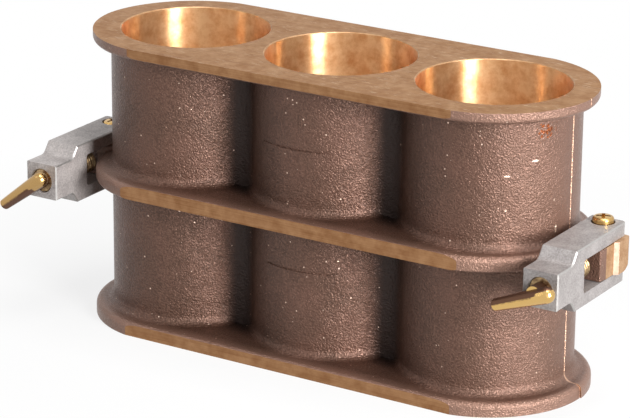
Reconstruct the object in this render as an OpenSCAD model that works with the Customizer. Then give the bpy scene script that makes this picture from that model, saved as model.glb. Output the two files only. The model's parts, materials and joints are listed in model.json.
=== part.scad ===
// Three-gang cylinder mould: two bronze half moulds parted on the plane through the three bores,
// held shut at each end by a hinged aluminium yoke with a brass clamp screw.
// X runs along the row of bores, the front half lies on the -Y side, Z is up and starts at the base.

/* [Bores and barrels] */
// Diameter of each bore, which is the diameter of the cast cylinder
bore_d = 50.8; // [45:0.1:56]
// Height of the mould, which is the length of the cast cylinder
mould_h = 101.6; // [95:0.1:112]
// Wall between a bore and the outside of its barrel
barrel_wall = 3.4; // [2.8:0.1:4.5]
// How far neighbouring barrels run into each other
barrel_lap = 0.1; // [0.05:0.05:0.6]
// Radius of the hollow fillet that joins neighbouring barrels
valley_r = 7.4; // [5:0.1:10]
// Chamfer at the upper mouth of each bore
bore_chamfer = 0.3; // [0.1:0.05:0.6]

/* [Flanges] */
// How far the top flange stands out from the barrels, as cast
top_reach = 6.7; // [5:0.1:9]
// How much farther the middle flange's end arcs reach, round centres that are set in to suit
mid_extra = 1; // [0:0.1:2]
// How much farther the base flange's end arcs reach, round centres that are set in to suit
base_extra = 0.4; // [0:0.1:2]
// How far the centres of the top flange's end arcs are set in from the end bores
flange_inset = 0.7; // [0:0.1:2]
// How far the middle flange ends short of the others
mid_short = 0.7; // [0:0.1:1.5]
// How far the back half's flanges are set in, because its parting face is cut deeper
back_set = 1.9; // [0:0.1:2.5]
// How much farther the back half's base flange reaches round its ends
back_base_extra = 0.5; // [0:0.1:1]
// Depth that is milled off the long sides of the flanges
mill_cut = 0.3; // [0.1:0.05:0.6]
// Thickness of the top flange
top_flange_t = 3.8; // [3:0.1:5]
// Thickness of the middle flange
mid_flange_t = 5; // [4:0.1:6]
// Height of the middle flange's underside above the base
mid_flange_z = 49.1; // [47:0.1:49.3]
// Thickness of the base flange
base_flange_t = 4.7; // [3.6:0.1:6]
// Rounding of the upper cast edge of the middle and base flanges
edge_r_up = 2; // [1:0.1:2.2]
// Rounding of the lower cast edge of the middle flange
edge_r_down = 0.8; // [0.4:0.1:1.2]
// Rounding of the lower cast edge of the top flange
top_edge_r = 1.6; // [0.8:0.1:2.2]
// Fillet between the barrels and the upper side of a flange
fillet_up = 3; // [1.5:0.1:4]
// Fillet between the barrels and the underside of a flange
fillet_down = 1.5; // [0.8:0.1:2.5]

/* [Number pads] */
// Width of each blank raised pad, measured round the middle barrel
pad_w = 26.4; // [18:0.1:32]
// Height of the upper pad
upper_pad_h = 9.1; // [6:0.1:12]
// Height of the lower pad
lower_pad_h = 9.9; // [6:0.1:12]
// Height of the upper pad's lower edge above the base
upper_pad_z = 66.9; // [62:0.1:74]
// Height of the lower pad's lower edge above the base
lower_pad_z = 24.4; // [18:0.1:30]
// How far a pad stands proud of its barrel
pad_proud = 0.4; // [0.1:0.05:0.6]
// How far round the barrel the upper pad's middle lies from the front
upper_pad_turn = -1.6; // [-8:0.1:8]
// How far round the barrel the lower pad's middle lies from the front
lower_pad_turn = 3; // [-8:0.1:8]

/* [Lugs] */
// How far the front lugs stand out past the ends of the flanges
lug_reach = 10; // [8:0.1:11.5]
// Height of the front lugs
lug_h = 10.6; // [8:0.1:14]
// Height of the back lugs, which fill the yoke's fork
back_lug_h = 11; // [8:0.1:14]
// Height of the middle of the lugs and clamps above the base
lug_z = 50.1; // [49:0.1:51.5]
// Depth of a front lug, from the parting plane
front_lug_d = 8.5; // [7:0.1:9.5]
// Depth of a back lug, from the parting plane
back_lug_d = 8.9; // [8:0.1:14]
// Rounding of the upright outer corner of a front lug
lug_corner_r = 1; // [0.6:0.1:3]
// How far back from its front face a front lug's end is left as cast
cast_end = 3.3; // [2:0.1:5]
// Draft angle of that cast part
cast_draft = 8; // [2:1:15]
// Rounding of the upright outer corner of a back lug
back_corner_r = 1.2; // [0.6:0.1:3.3]
// Rounding of the back lugs' lower far corner, seen from the end
lug_sweep_r = 4.5; // [2:0.1:6]
// Chamfer of a back lug at the parting plane, by which it is also longer than the front one
lug_chamfer = 1.3; // [0.6:0.1:2]
// Leg of the small bevel along the parting line of barrels and flanges
parting_bevel = 0.3; // [0.1:0.05:0.5]

/* [Dowels] */
// Diameter of the locating dowels
dowel_d = 4; // [3:0.1:5]
// Length of a dowel that is pressed into the back half
dowel_set = 5.5; // [4:0.1:7]
// Length of a dowel that stands out of the back half
dowel_out = 4.6; // [3.5:0.1:5.5]
// How far the dowels are set in from the ends of the flanges
dowel_inset = 3.7; // [3.5:0.1:5]
// Radial play of the dowels in the front half
dowel_play = 0.05; // [0.02:0.01:0.1]

/* [Yokes] */
// Width of a yoke
yoke_w = 12.5; // [11.4:0.1:13]
// Height over both arms of a yoke
yoke_h = 20.1; // [18:0.1:24]
// Height of the block that carries the clamp screw
block_h = 12.2; // [10:0.1:16]
// Height of the gap between the arms
yoke_gap_h = 11.2; // [11:0.1:14.4]
// Distance from the ends of the flanges out to the pivot and to the screw's axis
clamp_out = 3.5; // [3:0.1:5]
// Distance of the pivot behind the parting plane
pivot_y = 4.6; // [4:0.1:6]
// Length of the arms behind the pivot
arm_tail = 4.2; // [4.1:0.1:5]
// Distance from the pivot to the inner wall of the gap
gap_reach = 24.6; // [22:0.1:30]
// Distance from the gap's wall to the front of the block
block_l = 17.6; // [14:0.1:24]
// Length of the block in front of the shoulders
block_nose = 9.4; // [7:0.1:11]
// Run of the sloping shoulders between the block and the arms
shoulder_run = 3; // [1.5:0.1:5]
// Radius of the hollow between the block and each shoulder
shoulder_fillet = 3; // [1:0.1:4]
// Rounding of the arm ends, seen from above
arm_end_r = 1.6; // [0.8:0.1:2.5]
// Bevel along the yoke's side edges
yoke_bevel = 0.4; // [0.2:0.05:0.8]
// Rounding in the gap's upper and lower corners
gap_corner_r = 1; // [0.5:0.1:2]

/* [Pivot screws] */
// Diameter of a pivot screw's shank
pivot_d = 4; // [3:0.1:5]
// Diameter of the pan head
pivot_head_d = 7; // [6.4:0.1:7.6]
// Height of the pan head, with its crown
pivot_head_h = 3.5; // [3:0.1:4.6]
// Rounding of the pan head's rim
pivot_edge_r = 0.9; // [0.5:0.1:1.2]
// Radius of the pan head's slightly domed top
pivot_dome_r = 16; // [10:1:30]
// Depth of the counterbore for the right head
right_head_sink = 1.4; // [0.8:0.1:3.2]
// Depth of the counterbore for the left head
left_head_sink = 3; // [0.8:0.1:3.2]
// Radial play of the head in its counterbore
head_play = 0.45; // [0.15:0.05:0.6]
// Radial play of the shank in the lug
pivot_play = 0.05; // [0.02:0.01:0.1]
// Width of the arms of the cross recess
recess_w = 1.1; // [0.6:0.1:1.2]
// Span of the cross recess
recess_span = 4.6; // [3:0.1:5]
// Depth of the cross recess
recess_depth = 1.5; // [1:0.1:2]

/* [Clamp screws] */
// Diameter over the thread
screw_d = 8; // [7:0.1:9]
// Thread pitch
thread_pitch = 1.25; // [1:0.05:1.5]
// Depth of the thread
thread_depth = 0.65; // [0.4:0.05:0.8]
// Radial play of the screw in the yoke
screw_play = 0.05; // [0.02:0.01:0.1]
// Gap between the domed tip and the front lug at rest
tip_gap = 1.4; // [1.3:0.05:2]
// Length of the domed tip
tip_dome = 1.5; // [0.8:0.1:2.5]
// How far the screw's outer end lies inside the block's face
screw_sink = 0.4; // [0.2:0.1:1.5]

/* [Clamp handles] */
// Diameter of the handle's stem in the end of the screw
stem_d = 5; // [4:0.1:5.6]
// Length of the stem inside the screw
stem_set = 3.5; // [2.5:0.1:6]
// Radial play of the stem in the screw
stem_play = 0.04; // [0.02:0.01:0.08]
// Diameter of the handle bar at its heel
bar_d = 5.4; // [4.5:0.1:6.5]
// Diameter of the handle bar at its tip
bar_tip_d = 4; // [3:0.1:5.4]
// Distance of the bar's axis in front of the block
bar_out = 4.4; // [3.6:0.1:6]
// Length of the bar from the middle of its rounded heel to its tip
bar_l = 19.6; // [15:0.1:24]
// How far the stem flares towards the bar's tip, in the inside corner between them
neck_flare = 4.5; // [1:0.1:6]
// Thickness of the flare
neck_t = 4.4; // [3:0.1:5]
// Gap between the flare and the block
neck_gap = 0.4; // [0.2:0.1:1]
// How far the right handle's heel lies beyond the screw's axis
right_heel_out = 4.5; // [0:0.1:6]
// How far the left handle's heel lies beyond the screw's axis
left_heel_out = 3.4; // [0:0.1:6]
// Angle of the right handle below the horizontal
right_handle_angle = 21; // [0:1:60]
// Angle of the left handle below the horizontal
left_handle_angle = 37; // [0:1:60]
// How far the right handle's bar is brazed off the screw's axis
right_bar_drop = 1.1; // [0:0.1:1.5]

/* [Hidden] */

$fn = 96;
// Overshoot of cutting tools past the faces that they open
over = 1;
// Points in a quarter round
arc_steps = 6;

barrel_r = bore_d / 2 + barrel_wall;
bore_pitch = 2 * barrel_r - barrel_lap;
bore_x = [-bore_pitch, 0, bore_pitch];
top_r = barrel_r + top_reach;
mid_r = top_r + mid_extra;
base_r = top_r + base_extra;
flange_end = bore_pitch - flange_inset + top_r;
mill_y = top_r - mill_cut;
mid_flange_top = mid_flange_z + mid_flange_t;
top_flange_z = mould_h - top_flange_t;
// The hollow fillet touches both barrels, which fixes its distance from the parting plane
valley_y = sqrt(pow(barrel_r + valley_r, 2) - pow(bore_pitch / 2, 2));
valley_touch = valley_r / (barrel_r + valley_r);

clamp_x = flange_end + clamp_out;
lug_root = bore_pitch + bore_d / 2 + barrel_wall / 2;
front_lug_x = flange_end + lug_reach;
back_lug_x = front_lug_x + lug_chamfer;
dowel_x = flange_end - dowel_inset;
dowel_hole_d = dowel_out + 0.6;

arm_y = pivot_y + arm_tail;
gap_y = pivot_y - gap_reach;
block_y = gap_y - block_l;
shoulder_y = block_y + block_nose;
arm_bore_r = pivot_d / 2 + pivot_play;
tip_y = -front_lug_d - tip_gap;
screw_end_y = block_y + screw_sink;
bar_y = block_y - bar_out;
recess_clear = 0.3;
// Flats filed on each bar: the angle they face above the front, and their half width in degrees
right_flats = [[28, 19], [75, 28]];
left_flats = [[-45, 31], [75, 28]];

// Points on an arc about c, from angle a0 to a1
function arc(c, r, a0, a1, n = arc_steps) =
    [for (i = [0:n]) c + r * [cos(a0 + (a1 - a0) * i / n), sin(a0 + (a1 - a0) * i / n)]];

// Outline of a profile moved inwards by d, for points in counter-clockwise order
function unit(v) = v / norm(v);
function normal_out(a, b) = unit([(b - a)[1], -(b - a)[0]]);
function inset(pts, d) = let (n = len(pts)) [
    for (i = [0:n - 1])
        let (n0 = normal_out(pts[(i + n - 1) % n], pts[i]), n1 = normal_out(pts[i], pts[(i + 1) % n]))
        pts[i] - d * (n0 + n1) / (1 + n0 * n1)
];

// Prism along X, beveled along the edges of both ends: the lower half of its profile in Y and Z is mirrored upwards
module beveled_prism(lower, width, bevel) {
    m = len(lower);
    n = 2 * m;
    pts = concat(lower, [for (i = [1:m]) [lower[m - i][0], -lower[m - i][1]]]);
    small = inset(pts, bevel);
    x = width / 2;
    rings = concat(
        [for (p = small) [-x, p[0], p[1]]],
        [for (p = pts) [-x + bevel, p[0], p[1]]],
        [for (p = pts) [x - bevel, p[0], p[1]]],
        [for (p = small) [x, p[0], p[1]]]
    );
    sides = [for (k = [0:2], i = [0:n - 1]) let (j = (i + 1) % n)
        [k * n + i, (k + 1) * n + i, (k + 1) * n + j, k * n + j]];
    // Each end is cut into upright strips, so that every face is convex
    ends = [for (i = [0:m - 2]) let (j = n - 1 - i) each [
        [i, i + 1, j - 1, j],
        [3 * n + j, 3 * n + j - 1, 3 * n + i + 1, 3 * n + i]
    ]];
    polyhedron(rings, concat(sides, ends), convexity = 4);
}

// Half of the space, in front of the parting plane or behind it
module half_space(side) {
    far = flange_end + 3 * lug_reach;
    translate([-far, side < 0 ? -far : 0, -over]) cube([2 * far, far, mould_h + 2 * over]);
}

// Flange with cast edges: its section is swept round both ends and along the straight sides
module flange(z, t, r, end, r_low, r_high) {
    cx = end - r;
    section = concat(
        [[0, 0]],
        r_low > 0 ? arc([r - r_low, r_low], r_low, -90, 0) : [[r, 0]],
        r_high > 0 ? arc([r - r_high, t - r_high], r_high, 0, 90) : [[r, t]],
        [[0, t]]
    );
    translate([0, 0, z]) intersection() {
        union() {
            for (x = [-cx, cx]) translate([x, 0, 0]) rotate_extrude() polygon(section);
            for (a = [0, 180]) rotate([0, 0, a]) translate([-cx, 0, 0])
                rotate([90, 0, 90]) linear_extrude(2 * cx) polygon(section);
        }
        translate([-end - over, -mill_y, -over]) cube([2 * (end + over), 2 * mill_y, t + 2 * over]);
    }
}

// The three flanges, the lowest with its end arcs enlarged by extra
module flanges(extra) {
    flange(0, base_flange_t, base_r + extra, flange_end + extra, 0, edge_r_up);
    flange(mid_flange_z, mid_flange_t, mid_r, flange_end - mid_short, edge_r_down, edge_r_up);
    flange(top_flange_z, top_flange_t, top_r, flange_end, top_edge_r, 0);
}

// Outside of one barrel, with its fillets on the flanges
module barrel() {
    section = concat(
        [[0, 0], [barrel_r + fillet_up, 0]],
        arc([barrel_r + fillet_up, base_flange_t + fillet_up], fillet_up, 270, 180),
        arc([barrel_r + fillet_down, mid_flange_z - fillet_down], fillet_down, 180, 90),
        arc([barrel_r + fillet_up, mid_flange_top + fillet_up], fillet_up, 270, 180),
        arc([barrel_r + fillet_down, top_flange_z - fillet_down], fillet_down, 180, 90),
        [[barrel_r + fillet_down, mould_h], [0, mould_h]]
    );
    rotate_extrude() polygon(section);
}

// Web between two barrels, hollowed on both sides by the valley fillets
module web() {
    half_w = valley_touch * bore_pitch / 2;
    half_d = valley_y * (1 - valley_touch);
    difference() {
        translate([-half_w, -half_d, 0]) cube([2 * half_w, 2 * half_d, mould_h]);
        for (y = [-valley_y, valley_y])
            translate([0, y, -over]) cylinder(r = valley_r, h = mould_h + 2 * over);
    }
}

// Lug at the right end, reaching out to x on the side given, with its upright outer corner rounded by r
module lug(side, x, depth, height, r) {
    translate([0, 0, lug_z - height / 2]) union() {
        translate([lug_root, side < 0 ? -depth + r : 0, 0]) cube([x - lug_root, depth - r, height]);
        translate([lug_root, side < 0 ? -depth : depth - r, 0]) cube([x - r - lug_root, r, height]);
        translate([x - r, side * (depth - r), 0]) cylinder(r = r, h = height);
    }
}

// Front lug of the right end: the cast part of its end leans back from the milled part by the draft
module front_lug() {
    difference() {
        lug(-1, front_lug_x, front_lug_d, lug_h, lug_corner_r);
        translate([front_lug_x, cast_end - front_lug_d, lug_z]) rotate([0, 0, -cast_draft])
            translate([0, -front_lug_d, -lug_h]) cube([front_lug_d, front_lug_d, 2 * lug_h]);
    }
}

// What the back lug loses: its chamfer, its swept lower corner and the pivot's bore
module back_lug_cuts() {
    translate([back_lug_x, 0, lug_z]) rotate([0, 0, 45])
        cube([2 * lug_chamfer / sqrt(2), 2 * lug_chamfer / sqrt(2), back_lug_h + 2 * over], center = true);
    translate([flange_end, back_lug_d - lug_sweep_r, lug_z - back_lug_h / 2]) difference() {
        translate([0, 0, -over]) cube([back_lug_x, lug_sweep_r + over, lug_sweep_r + over]);
        translate([-over, 0, lug_sweep_r]) rotate([0, 90, 0])
            cylinder(r = lug_sweep_r, h = back_lug_x + 2 * over);
    }
    translate([clamp_x, pivot_y, lug_z - back_lug_h / 2 - over])
        cylinder(d = pivot_d + 2 * pivot_play, h = back_lug_h + 2 * over);
}

// Hole for a locating dowel at the right end
module dowel_hole(side, play, depth) {
    translate([dowel_x, side < 0 ? -depth : -over, lug_z]) rotate([-90, 0, 0])
        cylinder(r = dowel_d / 2 + play, h = depth + over);
}

// Small bevels along the open parting line at the right end: where it lies, from where, up to where
module parting_bevels() {
    side = parting_bevel * sqrt(2);
    for (s = [
        [bore_pitch + barrel_r, base_flange_t + fillet_up, lug_z - max(lug_h, back_lug_h) / 2],
        [bore_pitch + barrel_r, mid_flange_top + fillet_up, top_flange_z - fillet_down],
        [flange_end, -over, base_flange_t - edge_r_up],
        [flange_end, top_flange_z + top_edge_r, mould_h + over]
    ])
        translate([s[0], 0, s[1] + parting_bevel]) rotate([0, 0, 45]) translate([-side / 2, -side / 2, 0])
            cube([side, side, s[2] - s[1] - 2 * parting_bevel]);
}

// The three barrels and the webs between them, not yet parted or bored
module barrels() {
    for (x = bore_x) translate([x, 0, 0]) barrel();
    for (x = [-bore_pitch / 2, bore_pitch / 2]) translate([x, 0, 0]) web();
}

// The bores keep a sharp edge at the base, where they stand on a plate, and are chamfered at the top
module bores() {
    r = bore_d / 2;
    for (x = bore_x) translate([x, 0, 0]) {
        translate([0, 0, -over]) cylinder(r = r, h = mould_h + 2 * over, $fn = 160);
        translate([0, 0, mould_h - bore_chamfer])
            cylinder(r1 = r, r2 = r + 2 * bore_chamfer, h = 2 * bore_chamfer, $fn = 160);
    }
}

// Blank raised pad wrapped round the front of the middle barrel
module number_pad(z, h, turn) {
    half_turn = pad_w / 2 / barrel_r * 180 / PI;
    side = barrel_r + pad_proud + over;
    rotate([0, 0, turn]) translate([0, 0, z]) intersection() {
        cylinder(r = barrel_r + pad_proud, h = h);
        linear_extrude(h) polygon([
            [0, 0],
            side * [-tan(half_turn), -1],
            side * [tan(half_turn), -1]
        ]);
    }
}

module both_ends() {
    children();
    mirror([1, 0, 0]) children();
}

module front_half() {
    color("#5d4842") difference() {
        intersection() {
            union() {
                barrels();
                flanges(0);
                number_pad(upper_pad_z, upper_pad_h, upper_pad_turn);
                number_pad(lower_pad_z, lower_pad_h, lower_pad_turn);
                both_ends() front_lug();
            }
            half_space(-1);
        }
        bores();
        both_ends() {
            dowel_hole(-1, dowel_play, dowel_hole_d);
            parting_bevels();
        }
    }
}

module back_half() {
    color("#54413b") difference() {
        intersection() {
            union() {
                barrels();
                translate([0, -back_set, 0]) flanges(back_base_extra);
                both_ends() lug(1, back_lug_x, back_lug_d, back_lug_h, back_corner_r);
            }
            half_space(1);
        }
        bores();
        both_ends() {
            dowel_hole(1, 0, dowel_set);
            back_lug_cuts();
            parting_bevels();
        }
    }
}

module locating_dowels() {
    tip = dowel_d / 8;
    color("#b9b9b4") both_ends() translate([dowel_x, dowel_set, lug_z]) rotate([90, 0, 0]) {
        cylinder(d = dowel_d, h = dowel_set + dowel_out - tip);
        translate([0, 0, dowel_set + dowel_out - tip]) cylinder(d1 = dowel_d, d2 = dowel_d - 2 * tip, h = tip);
    }
}

// Yoke at the right end, its gap open towards the lugs
module yoke(head_sink) {
    slope = atan2((yoke_h - block_h) / 2, shoulder_run);
    corner = [shoulder_y - shoulder_fillet * tan(slope / 2), -block_h / 2 - shoulder_fillet];
    lower_outline = concat(
        [[block_y, -block_h / 2]],
        arc(corner, shoulder_fillet, 90, 90 - slope),
        [[shoulder_y + shoulder_run, -yoke_h / 2], [arm_y, -yoke_h / 2]]
    );
    half_gap = yoke_gap_h / 2;
    translate([clamp_x, 0, lug_z]) difference() {
        beveled_prism(lower_outline, yoke_w, yoke_bevel);
        // Gap between the arms, with rounded inner corners
        translate([-yoke_w, gap_y + gap_corner_r, -half_gap])
            cube([2 * yoke_w, gap_reach + arm_tail, yoke_gap_h]);
        translate([-yoke_w, gap_y, -half_gap + gap_corner_r])
            cube([2 * yoke_w, 2 * gap_corner_r, yoke_gap_h - 2 * gap_corner_r]);
        for (z = [-1, 1]) translate([-yoke_w, gap_y + gap_corner_r, z * (half_gap - gap_corner_r)])
            rotate([0, 90, 0]) cylinder(r = gap_corner_r, h = 2 * yoke_w, $fn = 32);
        // Rounded arm ends
        for (x = [-1, 1]) translate([x * (yoke_w / 2 - arm_end_r), arm_y - arm_end_r, -yoke_h]) difference() {
            translate([x < 0 ? -arm_end_r - over : 0, 0, 0])
                cube([arm_end_r + over, arm_end_r + over, 2 * yoke_h]);
            translate([0, 0, -over]) cylinder(r = arm_end_r, h = 2 * yoke_h + 2 * over, $fn = 48);
        }
        // Pivot bore and counterbore
        translate([0, pivot_y, -yoke_h]) cylinder(r = arm_bore_r, h = 2 * yoke_h);
        translate([0, pivot_y, yoke_h / 2 - head_sink]) cylinder(d = pivot_head_d + 2 * head_play, h = yoke_h);
        // Tapped hole for the clamp screw, at its crest diameter, with a countersunk mouth
        translate([0, block_y - over, 0]) rotate([-90, 0, 0])
            cylinder(d = screw_d + 2 * screw_play, h = block_l + 2 * over);
        translate([0, block_y - over / 10, 0]) rotate([-90, 0, 0])
            cylinder(d1 = screw_d + 2 * screw_play + thread_depth, d2 = screw_d, h = thread_depth);
    }
}

module right_yoke() { color("#b4b1ad") yoke(right_head_sink); }
module left_yoke() { color("#b4b1ad") mirror([1, 0, 0]) yoke(left_head_sink); }

// Cross-recess pan head screw that the right yoke turns on
module pivot_screw(head_sink) {
    head_r = pivot_head_d / 2;
    rim_r = head_r - pivot_edge_r;
    // Height of the dome's centre, and of the rim's, which touches it from within
    dome_z = pivot_head_h - pivot_dome_r;
    rim_z = dome_z + sqrt(pow(pivot_dome_r - pivot_edge_r, 2) - rim_r * rim_r);
    dome_a = asin(rim_r / (pivot_dome_r - pivot_edge_r));
    length = yoke_h - head_sink;
    profile = concat(
        [[0, -length], [pivot_d / 2 - 0.4, -length], [pivot_d / 2, -length + 0.4], [pivot_d / 2, 0], [head_r, 0]],
        arc([rim_r, rim_z], pivot_edge_r, 0, 90 - dome_a),
        [for (k = [2, 1, 0]) let (a = dome_a * k / 3) [pivot_dome_r * sin(a), dome_z + pivot_dome_r * cos(a)]]
    );
    translate([clamp_x, pivot_y, lug_z + yoke_h / 2 - head_sink]) difference() {
        rotate_extrude() polygon(profile);
        for (a = [25, 115]) rotate([0, 0, a])
            translate([-recess_span / 2, -recess_w / 2, pivot_head_h - recess_depth])
                cube([recess_span, recess_w, recess_depth + over]);
    }
}

module right_pivot_screw() { color("#c9a050") pivot_screw(right_head_sink); }
module left_pivot_screw() { color("#c9a050") mirror([1, 0, 0]) pivot_screw(left_head_sink); }

// Threaded clamp screw of the right end: ring grooves stand for the thread
module clamp_screw() {
    r = screw_d / 2;
    root = r - thread_depth;
    length = tip_y - screw_end_y;
    threads = floor((length - tip_dome - thread_pitch) / thread_pitch);
    start = length - tip_dome - threads * thread_pitch;
    crest = thread_pitch / 8;
    profile = concat(
        [[0, 0], [r - thread_depth / 2, 0], [r, thread_depth / 2]],
        [for (i = [0:threads - 1]) let (z = start + i * thread_pitch)
            each [[r, z], [root, z + (thread_pitch - crest) / 2], [r, z + thread_pitch - crest]]],
        [for (a = [0:15:75]) [root * cos(a), length - tip_dome + tip_dome * sin(a)]],
        [[0, length]]
    );
    translate([clamp_x, screw_end_y, lug_z]) difference() {
        rotate([-90, 0, 0]) rotate_extrude() polygon(profile);
        translate([0, -over, 0]) rotate([-90, 0, 0])
            cylinder(r = stem_d / 2 + stem_play, h = stem_set + recess_clear + over);
    }
}

module right_clamp_screw() { color("#c08a45") clamp_screw(); }
module left_clamp_screw() { color("#c08a45") mirror([1, 0, 0]) clamp_screw(); }

// What a flat along the bar takes away: it faces the angle given above the front, and takes half_width degrees to each
// side of that angle from the round tip, less from the heel
module bar_flat(facing, half_width) {
    heel_d = bar_d / 2 * cos(half_width / 2);
    tip_d = bar_tip_d / 2 * cos(half_width);
    rotate([-facing, 0, 0]) translate([0, -heel_d, 0]) rotate([0, 0, -atan((heel_d - tip_d) / bar_l)])
        translate([-bar_l - over, -bar_d, -bar_d]) cube([bar_l + bar_d + over, bar_d, 2 * bar_d]);
}

// Handle: a tapered bar with flats and a rounded heel, on a stem in the end of the screw that flares into the bar
module clamp_handle(x, angle, heel_out, drop, flats) {
    tip_r = bar_tip_d / 2;
    edge = tip_r / 3;
    profile = concat(
        arc([0, 0], bar_d / 2, -90, 0),
        arc([tip_r - edge, bar_l - edge], edge, 0, 90),
        [[0, bar_l]]
    );
    translate([x, bar_y, lug_z]) rotate([0, -angle, 0]) {
        translate([heel_out, 0, -drop]) difference() {
            rotate([0, -90, 0]) rotate_extrude() polygon(profile);
            for (flat = flats) bar_flat(flat[0], flat[1]);
        }
        rotate([-90, 0, 0]) cylinder(d = stem_d, h = screw_end_y + stem_set - bar_y);
        translate([0, 0, -drop - neck_t / 2]) linear_extrude(neck_t) polygon([
            [0, 0], [0, bar_out - neck_gap], [-stem_d / 2, bar_out - neck_gap], [-stem_d / 2 - neck_flare, 0]
        ]);
    }
}

module right_clamp_handle() {
    color("#c9a050") clamp_handle(
        clamp_x, right_handle_angle, right_heel_out, right_bar_drop, right_flats
    );
}

module left_clamp_handle() {
    color("#c9a050") clamp_handle(-clamp_x, left_handle_angle, left_heel_out, 0, left_flats);
}

front_half();
back_half();
locating_dowels();
right_yoke();
left_yoke();
right_pivot_screw();
left_pivot_screw();
right_clamp_screw();
left_clamp_screw();
right_clamp_handle();
left_clamp_handle();
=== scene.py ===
"""Looks of a three-gang cylinder mould: two bronze half moulds, held shut by two hinged aluminium yokes."""

import json
import math

import bpy
from mathutils import Matrix, Vector


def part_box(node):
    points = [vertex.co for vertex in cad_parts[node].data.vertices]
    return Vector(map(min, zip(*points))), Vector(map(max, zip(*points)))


bl_info = {
    "name": "Cylinder mould looks",
    "version": (1, 0, 0),
    "blender": (4, 5, 0),
    "location": "View3D > Sidebar > Cylinder mould",
    "description": "Finishes the castings, clamps and stage of a three-gang cylinder mould",
    "category": "Object",
}

MM = 0.001

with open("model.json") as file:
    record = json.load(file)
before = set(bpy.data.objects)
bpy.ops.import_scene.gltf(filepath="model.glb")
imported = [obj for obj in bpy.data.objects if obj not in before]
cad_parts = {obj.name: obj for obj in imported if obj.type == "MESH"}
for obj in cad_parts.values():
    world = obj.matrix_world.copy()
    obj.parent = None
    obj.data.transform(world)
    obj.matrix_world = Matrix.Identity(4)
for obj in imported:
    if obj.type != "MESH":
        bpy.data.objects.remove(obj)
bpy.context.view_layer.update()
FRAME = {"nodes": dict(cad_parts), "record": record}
NODES = FRAME["nodes"]
MOUNTS = {mount["name"]: mount for mount in FRAME["record"]["mounts"]}
BORES = [MOUNTS[name] for name in ("left_bore", "centre_bore", "right_bore")]
BORE_RADIUS = BORES[0]["dims"]["r_mm"] * MM
BORE_XS = [bore["pos_m"][0] for bore in BORES]
OUTER_BORE_X = BORE_XS[2]
FRONT_LOW, FRONT_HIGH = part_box("front_half")
BACK_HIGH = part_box("back_half")[1]
HEIGHT = FRONT_HIGH.z
# The grooves lie midway between the bores
GROOVE_X = (BORE_XS[2] - BORE_XS[1]) / 2
THREAD_PITCH = 1.25 * MM
# The lugs lie beyond the ends of the flanges
FLANGE_END = 93 * MM
# How far the flanges' round ends reach from the axes of the outer bores
FLANGE_REACH = FLANGE_END - OUTER_BORE_X

# Knocks on the right barrel: middle, turn of their long side, and half sizes
KNOCKS = (
    ((81.5 * MM, -15.9 * MM, 83.5 * MM), 1.0, (1.2 * MM, 1.5 * MM, 0.4 * MM)),
    ((75.2 * MM, -22.7 * MM, 79.0 * MM), 0.7, (1.0 * MM, 1.5 * MM, 0.35 * MM)),
    ((75.1 * MM, -22.8 * MM, 67.8 * MM), 0.7, (0.4 * MM, 1.5 * MM, 0.35 * MM)),
    ((85.2 * MM, -7.7 * MM, 59.5 * MM), 1.2, (0.5 * MM, 1.5 * MM, 1.4 * MM)),
)
# How plainly the scratches show on the top and base, which are laid on benches and struck off with a trowel
FACE_SCRATCHES = 0.7
# Middle and half sizes of a patch of gas pores
PORES_MIDDLE = (83.3 * MM, -12.8 * MM, 93.0 * MM)
PORES_HALF = (1.6 * MM, 1.6 * MM, 1.2 * MM)

# How far a face may lie from the plane or cylinder that a tool cut, and still belong to it
CUT_TOLERANCE = 0.02 * MM
# The chamfers at the bores' mouths stay this close to the walls
CHAMFER_REACH = 0.5 * MM
# The filed edges stay this close to the parting plane
FILED_REACH = 1.4 * MM
# A face is square to an axis where its normal's share along that axis is above this
SQUARE = 0.99

# How far the middle of a handle's heel lies inside its box: from the right, the front and the top
HEEL_INSET = Vector((2 * MM, -2 * MM, 4 * MM))

# The Mix node's colour sockets are reached by number, because they share their names with others
MIX_FACTOR, MIX_A, MIX_B, MIX_RESULT = 0, 6, 7, 2

# The camera and the softboxes aim near this point in the middle of the mould
AIM_POINT = Vector((0, 0, 50 * MM))
PHOTO_WIDTH_PX = 630
# How far right of and above the lens's axis the middle of the photograph lies
PHOTO_SHIFT_PX = (1.36, -1.25)
# Turn to the right of the camera and height in degrees, distance and size in metres, power in watts
SOFTBOXES = (
    {"name": "key_softbox", "turn": 35, "height": 14, "distance": 1.1, "size": (0.3, 0.6), "power": 19.5},
    {"name": "fill_softbox", "turn": -76, "height": 38, "distance": 1.1, "size": (0.02, 0.9), "power": 0.4},
    {"name": "top_softbox", "turn": 50, "height": 75, "distance": 1.2, "size": (0.6, 0.6), "power": 10.5},
)
# Strength of the world as a light. Where it is seen directly, it is 1, which is white
ROOM_LIGHT = 0.02
PAPER_REFLECTANCE = 0.9
# The paper shows its shadows best up to the first distance from the middle, and not at all from the second
FADE_START, FADE_END = 0.1, 0.24
# Share of plain white in the paper close to the mould
NEAR_WHITE = 0.84
FLOOR_HALF = 3.0
# The floor lies a hair below the base, so that their faces don't fall together
FLOOR_DROP = 0.05 * MM


def linear(hex_color):
    """Turns an sRGB colour such as #b08a5e into the linear values that Blender's sockets hold."""
    channels = [int(hex_color[i : i + 2], 16) / 255 for i in (1, 3, 5)]
    return [c / 12.92 if c <= 0.04045 else ((c + 0.055) / 1.055) ** 2.4 for c in channels]


def rgba(color):
    """Adds full opacity to a colour."""
    return (*color, 1.0)


def add_node(tree, kind, settings=None, links=None):
    """Adds a node to a tree, sets its properties and sockets, and links its inputs to other sockets."""
    made = tree.nodes.new(kind)
    for name, value in (settings or {}).items():
        if isinstance(name, str) and hasattr(made, name):
            setattr(made, name, value)
        else:
            made.inputs[name].default_value = value
    for name, source in (links or {}).items():
        tree.links.new(source, made.inputs[name])
    return made


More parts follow.
